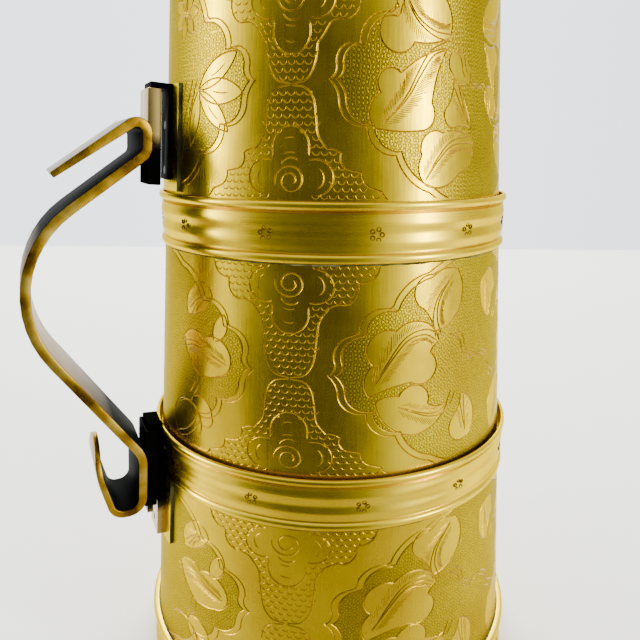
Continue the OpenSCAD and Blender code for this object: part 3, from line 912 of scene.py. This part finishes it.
def build_wall(tier, phase, drop, sprays):
    """Wall of one tier with its ornament cut into the outer face, tinned inside."""
    name = WALLS[tier]
    low, high = foot_of(name) / MM, top_of(name) / MM
    base = top_of(BANDS[tier]) / MM
    foot_r = radius_of(name) / MM
    art = Ornament(drop)
    for n in range(REPEATS + 1):
        column(art, n * REPEAT)
    for n, spray in enumerate(sprays):
        cartouche(art, (n + 0.5) * REPEAT)
        spray(art, (n + 0.5) * REPEAT)

    # the sheet laid flat, in millimetres, at the scale of the wall's middle
    stretch = math.radians(foot_r - WALL_FALL * (base + VISIBLE / 2 - low))
    points, links, lines = cut_strips(art.cuts, stretch)
    rows = [low - base, *np.linspace(0, VISIBLE, GRID_ROWS), high - base]
    if low - base < -DEEP_FOOT:
        rows.insert(1, (low - base) / 2)
    add_grid(points, links, np.arange(0, 361, GRID_STEP) * stretch, rows)
    made, _, faces, _, _, _ = delaunay_2d_cdt([Vector(p) for p in points], links, [], 0, FLAT_WELD)
    flat = np.array([tuple(v) for v in made])
    faces = np.array([tuple(f) for f in faces])
    middle = flat[faces].mean(1)
    kept = (middle[:, 0] > 0) & (middle[:, 0] < 360 * stretch)
    kept &= (middle[:, 1] > low - base) & (middle[:, 1] < high - base)
    faces = faces[kept]
    middle = middle[kept] / [stretch, 1]

    depth = cut_depths(flat, lines)
    is_cut = depth[faces].max(1) > CUT_SHOWS
    matted = np.any([inside(middle, shape) for shape in art.cartouches], axis=0)
    matted &= ~np.any([inside(middle, shape) for shape in art.leaves], axis=0)

    # the sheet rolled into a cone
    bearing = np.radians(flat[:, 0] / stretch + phase)
    height = flat[:, 1] + base
    radius = foot_r - WALL_FALL * (height - low) - depth
    outer = np.stack([radius * np.cos(bearing), radius * np.sin(bearing), height], 1) * MM
    work = bmesh.new()
    sheet = work.loops.layers.uv.new("sheet")
    verts = [work.verts.new(p) for p in outer]
    for face, cut, punched in zip(faces, is_cut, matted):
        made = work.faces.new([verts[n] for n in face])
        made.smooth = not cut
        made.material_index = IN_CUT if cut else MATTED if punched else PLAIN
        for loop, n in zip(made.loops, face):
            loop[sheet].uv = flat[n]
    bmesh.ops.delete(work, geom=[v for v in work.verts if not v.link_faces], context="VERTS")
    for edge in work.edges:
        if len(edge.link_faces) == 2:
            a, b = edge.link_faces
            edge.smooth = (a.material_index == IN_CUT) == (b.material_index == IN_CUT)
    bmesh.ops.remove_doubles(work, verts=[v for v in work.verts if v.is_boundary], dist=WELD)

    # the lining, one sheet thickness further in, and the two rims
    levels = [(z * MM, (foot_r - WALL_FALL * (z - low)) * MM) for z in (low, (low + high) / 2, high)]
    foot, waist, brim = (ring(work, r - WALL_T, z, phase) for z, r in levels)
    for face in joined(work, foot, waist) + joined(work, waist, brim):
        face.smooth = True
    foot_edge, _, brim_edge = (ring(work, r, z, phase) for z, r in levels)
    for face in joined(work, foot, foot_edge) + joined(work, brim_edge, brim):
        for edge in face.edges:
            edge.smooth = False
    bmesh.ops.remove_doubles(work, verts=work.verts, dist=WELD)
    bmesh.ops.recalc_face_normals(work, faces=work.faces)
    finishes = [BRASS_SHEET, CUT, RING_GROUND, TIN]
    placed(work, name + "_engraved", TIERS[tier], name, finishes)


# ---------------------------------------------------------------- bands

ON_BAND_PUNCHED, ON_BAND_GREEN = 1, 2
LATHE_STEPS = 240
LATHE_CREASE = math.radians(38)
BAND_WELD = 1e-7
# the field of a band starts above its foot and ends below its top, in millimetres
FIELD_SAMPLES = 21
FIELD_LOW = 3.2
FIELD_HIGH = 3.4
SWELL = 0.42
# the band's own seat starts just below the piece that stands in it
SEAT_GAP = 0.1
NEST_GAP = 0.7
PUNCH_GROUPS = 12
# bearing of the first flower on the foot band, and how far each band's flowers are shifted on
PUNCH_FIRST = 17
PUNCH_SHIFT = 3
PUNCH_RING_R = 0.6 * MM
PUNCH_WIRE_R = 0.17 * MM
PUNCH_SPREAD = 1.55 * MM
PUNCH_SUNK = 0.76 * MM
PUNCH_BELOW_MIDDLE = 0.3 * MM
# the field's swell lifts the marks above and below its valley
PUNCH_LIFT = 0.12 * MM
SEAM_BELOW_BEAD = 0.02 * MM
SEAM_LAP = 0.05 * MM
SEAM_WIDE = 0.5 * MM
SEAM_DRIFT = 0.16 * MM


def tier_radius(tier, z):
    """Outer radius of a tier's wall at a height, carried on above and below the wall itself."""
    return radius_of(BANDS[tier]) - WALL_BELOW_LIP - WALL_FALL * (z - top_of(BANDS[tier]))


def lathe_turned(section):
    """Spin a closed section of (radius, height) round the upright axis."""
    work = bmesh.new()
    verts = [work.verts.new((r, 0, z)) for r, z in section]
    edges = [work.edges.new((a, b)) for a, b in zip(verts, verts[1:] + verts[:1])]
    bmesh.ops.spin(
        work, geom=verts + edges, cent=(0, 0, 0), axis=(0, 0, 1), angle=TAU, steps=LATHE_STEPS, use_merge=True
    )
    return work


def round_edge(centre, radius, start, end):
    """Rounded corner of a section, in six steps between two angles in degrees."""
    return [
        (centre[0] + radius[0] * math.cos(a), centre[1] + radius[1] * math.sin(a))
        for a in np.radians(np.linspace(start, end, 7))
    ]


def band_section(k):
    """Bead, turned line, a field of two low swells, a double line and the lip."""
    node = BANDS[k]
    edge = radius_of(node) / MM
    low = foot_of(node) / MM
    high = top_of(node) / MM
    section = round_edge((edge - 0.95, low + 1.35), (0.95, 1.35), -90, 78)
    section += [(edge - 1.05, low + 2.85), (edge - 0.8, low + 3.1)]
    for t in np.linspace(0, 1, FIELD_SAMPLES):
        swell = SWELL * math.sin(TAU * t) ** 2
        up = low + FIELD_LOW + t * (BAND_H / MM - FIELD_LOW - FIELD_HIGH)
        section.append((edge - 0.85 + swell, up))
    section += [(edge - 1.1, high - 3.2), (edge - 0.82, high - 2.95)]
    section += [(edge - 1.1, high - 2.7), (edge - 0.75, high - 2.45)]
    section += round_edge((edge - 0.9, high - 1.15), (0.9, 1.15), -50, 90)
    if k:
        seat = foot_of(NESTED[k]) / MM - SEAT_GAP
        nest = tier_radius(k, seat * MM) / MM + NEST_GAP
        section += [(nest + 0.3, high), (nest, high - 0.3), (nest, seat)]
        inner = [(k - 1, seat), (k - 1, low)]
    else:
        inner = [(0, high), (0, low)]
    section += [(tier_radius(tier, z * MM) / MM, z) for tier, z in inner]
    return [(r * MM, z * MM) for r, z in section]


def punch_marks(work, k):
    """Every 30 degrees a flower of five ring-punch marks, sunk in the valley of the field."""
    node = BANDS[k]
    middle = (foot_of(node) + top_of(node)) / 2 - PUNCH_BELOW_MIDDLE
    reach = radius_of(node) - PUNCH_SUNK
    one = bmesh.new()
    wire = Matrix.Translation((PUNCH_RING_R, 0, 0)) @ Matrix.Rotation(math.pi / 2, 4, "X")
    bmesh.ops.create_circle(one, segments=6, radius=PUNCH_WIRE_R, matrix=wire)
    bmesh.ops.spin(
        one, geom=one.verts[:] + one.edges[:], cent=(0, 0, 0), axis=(0, 0, 1), angle=TAU, steps=12,
        use_merge=True,
    )
    for face in one.faces:
        face.material_index = ON_BAND_PUNCHED
        face.smooth = True
    for n in range(PUNCH_GROUPS):
        bearing = math.radians(PHASE + PUNCH_FIRST + 360 / PUNCH_GROUPS * n + PUNCH_SHIFT * k)
        for petal in range(5):
            turn = TAU * petal / 5 + 0.5 * n
            across, up = PUNCH_SPREAD * math.cos(turn), PUNCH_SPREAD * math.sin(turn)
            out = reach + PUNCH_LIFT * abs(math.sin(turn))
            stamp = one.copy()
            stamp.transform(
                Matrix.Rotation(bearing, 4, "Z")
                @ Matrix.Translation((out, across, middle + up))
                @ Matrix.Rotation(math.pi / 2, 4, "Y")
            )
            add_copy(work, stamp)
    one.free()


def seam(work, k):
    """Old polish and verdigris caught where the wall runs into the band."""
    if k:
        corner, away = foot_of(BANDS[k]) - SEAM_BELOW_BEAD, -SEAM_WIDE
        r = tier_radius(k - 1, corner)
        section = [(r - SEAM_LAP, corner), (r + SEAM_WIDE, corner), (r - SEAM_LAP, corner + away)]
    else:
        corner, away = top_of(BANDS[k]), SEAM_WIDE
        r = tier_radius(0, corner)
        section = [(r - SEAM_LAP, corner), (r - SEAM_LAP, corner + away), (r + SEAM_WIDE, corner)]
    fillet = lathe_turned(section)
    for face in fillet.faces:
        face.material_index = ON_BAND_GREEN
    for vert in fillet.verts:
        if abs(vert.co.z - corner) > SEAM_WIDE / 2:
            a = math.atan2(vert.co.y, vert.co.x)
            vert.co.z += SEAM_DRIFT * (math.sin(9 * a) * math.sin(23 * a + 1) + 0.6 * math.sin(61 * a))
    bmesh.ops.recalc_face_normals(fillet, faces=fillet.faces)
    add_copy(work, fillet)


def make_bands():
    for k, node in enumerate(BANDS):
        work = lathe_turned(band_section(k))
        bmesh.ops.remove_doubles(work, verts=work.verts, dist=BAND_WELD)
        bmesh.ops.recalc_face_normals(work, faces=work.faces)
        for face in work.faces:
            face.smooth = True
        for edge in work.edges:
            edge.smooth = edge.calc_face_angle(0) < LATHE_CREASE
        punch_marks(work, k)
        seam(work, k)
        body = TIERS[max(0, k - 1)]
        placed(work, node + "_turned", body, node, [BAND_BRASS, PUNCHED, GREEN])


# ---------------------------------------------------------------- forged and folded parts

SOFTENED_FROM = math.radians(35)
SOFT_CREASE = math.radians(32)
SAME_PLANE = math.radians(0.4)
ON_STRAP_HANDLED, ON_STRAP_FILED, ON_STRAP_SOOT_AND_SHADE = range(3)
LOW_SLEEVE, HIGH_SLEEVE = (
    sum(map(Vector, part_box(node)), Vector()) / 2 for node in ("lower_sleeve", "upper_sleeve")
)
GUIDE_UP = (HIGH_SLEEVE - LOW_SLEEVE).normalized()
GUIDE_OUT = Vector((-GUIDE_UP.z, 0, GUIDE_UP.x))
# the free arms of the strap in millimetres up and out from the lower sleeve: the top arm lies
# above the line up = 116 - 0.77 out, the scroll's arm below the line up = 1.28 out - 5
TOP_ARM_OUT = 6.5
TOP_ARM_UP = 116
TOP_ARM_FALL = 0.77
SCROLL_OUT = 9
SCROLL_FOOT = -6
SCROLL_RISE = 1.28
SCROLL_DROP = 5
# how squarely a face has to face a direction to count as facing it
SQUARELY = 0.6
FACE_SQUARELY = 0.7
# width of the broken edges
STRAP_SOFT = 0.45 * MM
SLEEVE_SOFT = 0.35 * MM
HOOK_SOFT = 0.3 * MM
PLATE_SOFT = 0.25 * MM


def softened(node, body, width, finishes, choose, segments=2):
    """The same part with its sharp edges broken, as a file or long handling leaves them."""
    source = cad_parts[node]
    work = bmesh.new()
    work.from_mesh(source.data)
    work.transform(source.matrix_world)
    bmesh.ops.remove_doubles(work, verts=work.verts, dist=WELD)
    bmesh.ops.dissolve_limit(
        work, angle_limit=SAME_PLANE, verts=work.verts, edges=work.edges, use_dissolve_boundaries=False
    )
    for face in work.faces:
        face.material_index = choose(face.normal, face.calc_center_median())
    sharp = [e for e in work.edges if len(e.link_faces) == 2 and e.calc_face_angle(0) > SOFTENED_FROM]
    bmesh.ops.bevel(
        work, geom=sharp, offset=width, offset_type="OFFSET", segments=segments, profile=0.5,
        affect="EDGES", clamp_overlap=True, material=-1,
    )
    for face in work.faces:
        face.smooth = True
    for edge in work.edges:
        edge.smooth = edge.calc_face_angle(0) < SOFT_CREASE
    placed(work, node + "_worn", body, node, finishes)


def strap_side(normal, place):
    """Filed edge, handled outer side of the two free arms, or an inner side near black with wax and soot and
    painted shade.
    """
    up = (place - LOW_SLEEVE).dot(GUIDE_UP) / MM
    out = (place - LOW_SLEEVE).dot(GUIDE_OUT) / MM
    facing_out = normal.dot(GUIDE_OUT)
    top_arm = out > TOP_ARM_OUT and up > TOP_ARM_UP - TOP_ARM_FALL * out
    scroll_arm = out > SCROLL_OUT and SCROLL_FOOT < up < SCROLL_RISE * out - SCROLL_DROP
    tip_end = scroll_arm and up > 0 and abs(facing_out) < SQUARELY
    if abs(normal.y) > SQUARELY or tip_end:
        return ON_STRAP_FILED
    # the other sides get the near-black finish, which partly paints their shade
    return ON_STRAP_HANDLED if (top_arm or scroll_arm) and facing_out > 0 else ON_STRAP_SOOT_AND_SHADE


def one_finish(normal, place):
    return 0


def top_or_side(normal, place):
    """The second finish on top, the first one everywhere else."""
    return int(normal.z > SQUARELY)


def face_or_rim(normal, place):
    """Verdigris gathers on the rim of a plate, the face stays bright."""
    outward = Vector((place.x, place.y, 0)).normalized()
    return int(abs(normal.dot(outward)) <= FACE_SQUARELY)


def make_fittings():
    strap_finishes = [STRAP_BRASS, FILED, SOOT_AND_SHADE]
    softened("handle_strap", "handle", STRAP_SOFT, strap_finishes, strap_side, segments=3)
    softened("upper_sleeve", "handle", SLEEVE_SOFT, [SLEEVE_BRASS], one_finish)
    # the lower sleeve and the top hook's sides are near black: partly soot and wax, partly painted shade
    softened("lower_sleeve", "handle", SLEEVE_SOFT, [SOOT_AND_SHADE], one_finish)
    softened("top_hook", "top_tier", HOOK_SOFT, [SOOT_AND_SHADE, DARK_BRASS], top_or_side)
    softened("bottom_hook", "bottom_tier", HOOK_SOFT, [STEM_BRASS], one_finish)
    softened("top_plate", "top_tier", PLATE_SOFT, [BAND_BRASS, GREEN], face_or_rim)
    softened("bottom_plate", "bottom_tier", PLATE_SOFT, [BAND_BRASS, GREEN], face_or_rim)


# the CAD pieces that are shown as they are
CAD_FINISHES = {
    "bottom_base": TIN, "middle_base": TIN, "top_base": TIN, "lid_skirt": TIN, "lid_dome": BRASS_SHEET,
    "lid_bead": BAND_BRASS, "knob": BAND_BRASS, "knob_rivet": DARK_BRASS, "knob_washer": DARK_BRASS,
    "bottom_rivets": DARK_BRASS, "top_rivets": DARK_BRASS,
}


def finish_cad_nodes():
    for name, material in CAD_FINISHES.items():
        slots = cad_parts[name].data.materials
        slots.clear()
        slots.append(material)


make_camera()
make_stage()
make_light()
finish_cad_nodes()
make_bands()
make_fittings()
build_wall(0, PHASE, 0, [broad_leaves, broad_leaves, disc_leaves])
build_wall(1, PHASE, 0, [broad_leaves, broad_leaves, disc_leaves])
build_wall(2, PHASE - 0.5, 6, [broad_leaves, broad_leaves, cane_leaves])
